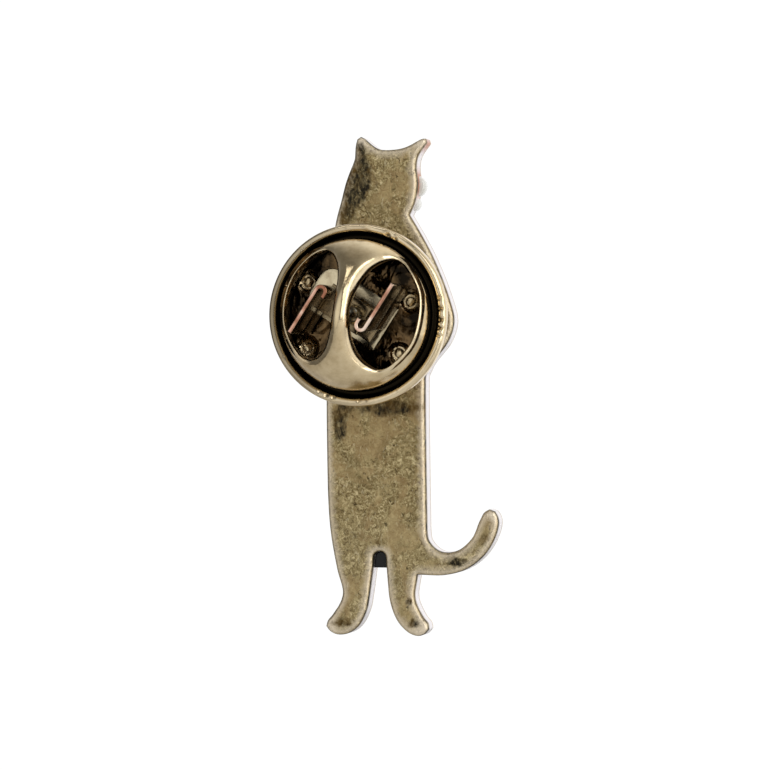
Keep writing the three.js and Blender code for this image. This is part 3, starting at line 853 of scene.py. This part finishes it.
def make_clutch_base():
    rim = 0.26
    corner = 0.5
    hole = 0.75
    profile = [(hole, CLOTH_Y + 0.05), (hole + 0.06, CLOTH_Y)]
    profile += [(r, CLOTH_Y) for r in np.linspace(1.2, RIM_R - corner - 0.3, 8)]
    profile += arc_points((RIM_R - corner, CLOTH_Y + corner), corner, -90, 0, 8)
    profile += arc_points((RIM_R - rim, RIM_TOP_Y - rim), rim, 0, 180, 18)
    lip = RIM_R - 2 * rim
    gutter = RIM_R - ROLL_INSET
    profile += [(lip + 0.01, RIM_TOP_Y - 0.42), (lip + 0.08, RIM_TOP_Y - 0.5), (gutter, RIM_TOP_Y - 0.54)]
    profile += [(gutter, FLOOR_TOP_Y + 0.08), (gutter - 0.08, FLOOR_TOP_Y)]
    profile += [(r, FLOOR_TOP_Y) for r in np.linspace(5.0, 1.2, 40)]
    profile += [(hole + 0.05, FLOOR_TOP_Y), (hole, FLOOR_TOP_Y - 0.05), (hole, CLOTH_Y + 0.05)]

    def wear(co):
        return bell(co[:, 1], RIM_TOP_Y, 0.12) * (from_axis(co) > 5) * 0.35

    # Patina in the groove and the crimp pits, painted shade in the groove, and painted shade on the rim's +X
    # side.
    def grime(co):
        radius = from_axis(co)
        below = RIM_TOP_Y - co[:, 1]
        # patina and painted shade in the groove between the cap and the rim
        groove_shade = (radius < lip + 0.08) * (radius > INNER_R) * np.clip((below - 0.1) / 0.15, 0, 1)
        pits = np.clip((below - 0.08) / 0.1, 0, 1) * (abs(radius - RIM_R + rim) < 0.14) * (below < 0.3) * 0.9
        # painted shade: the rim is darker towards +X, the side away from the softboxes
        shaded_side = 0.6 * np.clip(co[:, 0] / RIM_R, 0, 1) * (radius > lip)
        # painted light: the groove's shade is eased on the side towards the lamps
        lit_side = 0.6 * bell(np.degrees(np.arctan2(co[:, 2], -co[:, 0])), 5, 45)
        return groove_shade * (co[:, 1] > UPPER_SIDE_Y) * (1 - lit_side) + pits + shaded_side

    # Painted shade over the upper side of the floor inside the cap.
    def inner(co):
        # painted glints: the painted shade is left off in rings round the dimples, so they show bright brass
        rings = sum(bell(np.hypot(co[:, 0] - x, co[:, 2] - z), 0.42, 0.17) for x, z in DIMPLES)
        return (from_axis(co) <= INNER_R) * (co[:, 1] > UPPER_SIDE_Y) * (1 - 0.9 * np.clip(rings, 0, 1))

    shares = {"wear": wear, "grime": grime, "inner": inner}
    return lathe(profile, BASE_STEPS, rim_dents).piece(
        "clutch_base_rolled", "clutch_base", "clutch_brass", "clutch_base", attributes=shares
    )


# ---- clutch cap ----
def dome(radius):
    share = np.clip(1 - (radius / CAP_R) ** 2, 0, 1)
    return SHOULDER_Y + (CROWN_Y - SHOULDER_Y) * share**DOME_FALL


HALF_OPENING = [  # (across the bridge, along it), from the waist of the bridge to the far side
    (0.5, 0), (0.58, 1.0), (0.76, 1.9), (1.2, 2.8), (2.05, 3.4),
    (2.85, 3.2), (3.6, 2.4), (4.12, 1.4), (4.3, 0),
]
TILT_COS, TILT_SIN = math.cos(BRIDGE_TILT), math.sin(BRIDGE_TILT)
TILTED = np.array([[TILT_COS, TILT_SIN], [-TILT_SIN, TILT_COS]])


def opening(side):
    """One of the two holes beside the bridge, as a smooth loop in plan."""
    mirrored = [(u, -v) for u, v in HALF_OPENING[-2:0:-1]]
    loop = np.array(HALF_OPENING + mirrored) * (side, 1) + (0, OPENING_Z)
    return fine_loop(anticlockwise(loop @ TILTED), 0.08, math.pi)


def roll_radius(points):
    """The rounding of the openings' edges: tight at the bridge's waist and by the rim, wide between."""
    turned = points @ TILTED.T
    across, along = np.abs(turned[:, 0]), np.abs(turned[:, 1] - OPENING_Z)
    inward = np.clip((3.2 - across) / 1.6, 0, 1)
    away = np.clip(along / 2.6, 0, 1)
    return 0.3 + inward * (0.2 + 0.55 * away * away * (3 - 2 * away))


def make_clutch_cap():
    flange = 0.25
    openings = [opening(side) for side in (-1, 1)]
    outer = circle(CAP_R, CAP_STEPS)
    shoulder_angles = (62, 68, 73, 77, 81, 84, 87)
    shoulder = [circle(CAP_R * math.sin(math.radians(a)), CAP_STEPS) for a in shoulder_angles]
    near_offsets = (0.01, 0.03, 0.06, 0.1, 0.15, 0.21, 0.28)  # from the openings' edges
    wide_offsets = (0.37, 0.47, 0.6, 0.75, 0.92)
    rolls = [inset(loop, -d) for loop in openings for d in near_offsets]
    bridge = [inset(loop, -d) for loop in openings for d in wide_offsets]
    inside_cap = [ring[np.hypot(*ring.T) < CAP_R * 0.93] for ring in bridge]
    verts, faces = plan_mesh(outer, openings, [*rolls, *shoulder], 0.12, extra=np.concatenate(inside_cap))
    gap = nearest(verts, openings)
    radius = roll_radius(verts)
    height = dome(np.hypot(*verts.T)) - rounded(gap, radius)
    solid = Solid()
    solid.plan(verts, faces, height)

    def drop(loop, depth):
        return np.c_[loop[:, 0], dome(np.hypot(*loop.T)) - roll_radius(loop) - depth, loop[:, 1]]

    for loop in openings:
        solid.wall([drop(loop, depth) for depth in np.linspace(0, flange, 4)])
    wall = [(CAP_R, y) for y in np.linspace(SHOULDER_Y, BRIM_Y + SHEET + 0.12, 7)]
    brim = [(CAP_R + 0.04, BRIM_Y + SHEET + 0.03), (CAP_R + 0.12, BRIM_Y + SHEET), (BRIM_R, BRIM_Y + SHEET)]
    solid.wall([at_height(circle(r, CAP_STEPS), y) for r, y in wall + brim])

    # Patina and painted shade on the cap's wall down in the groove by the rim.
    def grime(co):
        return np.clip((RIM_TOP_Y + 0.25 - co[:, 1]) / 0.35, 0, 1) * (from_axis(co) > CAP_R - 0.06)

    def wear(co):
        edge = nearest(co[:, ::2], openings)
        return bell(edge, 0.12, 0.16) * (co[:, 1] > SHOULDER_Y - 0.2) * 0.25

    shares = {"wear": wear, "grime": grime}
    return solid.piece(
        "clutch_cap_drawn", "clutch_cap", "clutch_brass", "clutch_cap", attributes=shares, thickness=SHEET
    )


# ---- spring ----
def make_spring():
    for side in "ab":
        node = "spring_wing_" + side
        low, high = (corner.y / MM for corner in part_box(node))
        strip = fine_loop(flat_loops(node, low)[0], 0.08)
        curl = fine_loop(flat_loops(node, high)[0], 0.06)
        slab(curl, WING_CURL_FOOT_Y, high, 0.07, steps=3).piece(
            "wing_leaf_" + side, "wing_" + side, "spring_brass", node)
        slab(strip, low, WING_CURL_FOOT_Y + 0.1, 0.04, steps=2).piece(
            "wing_foot_" + side, "wing_" + side, "spring_brass")
        jaw_low = JAW_LOW_Y[side]
        jaw_high = jaw_low + JAW_THICK
        jaw, *holes = (fine_loop(loop) for loop in flat_loops(node, jaw_high))
        slab(jaw, jaw_low, jaw_high, 0.05, holes, steps=2).piece(
            "wing_jaw_" + side, "wing_" + side, "spring_brass")
    low, high = (corner.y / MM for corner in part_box("spring_seat"))
    seat, *holes = (fine_loop(loop) for loop in flat_loops("spring_seat", high))
    slab(seat, low, high, 0.05, holes, steps=2).piece(
        "spring_seat_strip", "clutch_cap", "spring_brass", "spring_seat")


# ---- room, light and camera ----
VIEW_TURN = math.radians(194)
AIM = Vector((-0.58, -0.124, -4.38)) * MM
FIELD_MM = 49.3
LENS_MM = 150
SENSOR_MM = 36
FLOOR_Z = -60 * MM
FLOOR_R = 180 * MM
ROOM_AXIS = (-0.5, -0.866, 0.0)
# The room's greys by direction: 0 is straight against the axis and 1 is straight along it.
ROOM_TONES = ((0.0, 0.86), (0.07, 0.74), (0.2, 0.16), (0.45, 0.2), (0.6, 0.42), (0.78, 1.05))
LAMPS = [  # name, direction from the aim, distance in mm, width and height in mm, power
    ("side", (-1.0, 0.42, 0.2), 240, (90, 240), 0.17),
    ("key", (-0.62, 0.75, 0.25), 240, (110, 260), 0.16),
    ("top", (0.1, 0.45, 1.0), 260, (220, 70), 0.08),
]


def softbox(name, direction, distance, size, power):
    light = bpy.data.lights.new(name, "AREA")
    light.shape = "RECTANGLE"
    light.size, light.size_y = (s * MM for s in size)
    light.energy = power
    lamp = bpy.data.objects.new(name, light)
    lamp.location = AIM + Vector(direction).normalized() * distance * MM
    lamp.rotation_euler = (AIM - lamp.location).to_track_quat("-Z", "Y").to_euler()
    bpy.context.scene.collection.objects.link(lamp)


def make_room():
    mesh = bpy.data.meshes.new("floor")
    edge = circle(FLOOR_R, 96)
    mesh.from_pydata([(x, y, FLOOR_Z) for x, y in edge], [], [tuple(range(len(edge)))])
    floor = bpy.data.objects.new("floor", mesh)
    bpy.context.scene.collection.objects.link(floor)
    shader = Shader("floor")
    tone = shader.noise(0.01, 2.0)
    grey = shader.ramp(tone, (0.3, 0.78), (0.7, 0.82))
    mesh.materials.append(shader.surfaced(Base_Color=grey, Roughness=0.9))

    world = bpy.data.worlds.new("studio")
    bpy.context.scene.world = world
    world.use_nodes = True
    tree = world.node_tree
    facing = tree.nodes.new("ShaderNodeVectorMath")
    facing.operation = "DOT_PRODUCT"
    tree.links.new(tree.nodes.new("ShaderNodeTexCoord").outputs["Generated"], facing.inputs[0])
    facing.inputs[1].default_value = ROOM_AXIS
    share = tree.nodes.new("ShaderNodeMapRange")
    tree.links.new(facing.outputs["Value"], share.inputs["Value"])
    share.inputs["From Min"].default_value = -1.0
    shade = tree.nodes.new("ShaderNodeValToRGB")
    tree.links.new(share.outputs["Result"], shade.inputs["Fac"])
    set_stops(shade.color_ramp, ROOM_TONES)
    tree.links.new(shade.outputs["Color"], tree.nodes["Background"].inputs["Color"])
    bpy.context.scene.view_settings.view_transform = "Standard"

    for lamp in LAMPS:
        softbox(*lamp)


def make_camera():
    camera = bpy.data.cameras.new("camera")
    camera.lens = LENS_MM
    camera.sensor_width = SENSOR_MM
    camera.clip_start = 0.001
    rig = bpy.data.objects.new("camera", camera)
    back = Vector((math.sin(VIEW_TURN), -math.cos(VIEW_TURN), 0))
    rig.location = AIM + back * (FIELD_MM * LENS_MM / SENSOR_MM * MM)
    rig.rotation_euler = (AIM - rig.location).to_track_quat("-Z", "Y").to_euler()
    bpy.context.scene.collection.objects.link(rig)
    bpy.context.scene.camera = rig


MATERIALS = make_materials()
make_camera()
make_room()
make_plate()
for filled_node in FILLED:
    make_enamel(filled_node)
make_beads()
make_post()
make_solder()
make_clutch_base()
make_clutch_cap()
make_spring()
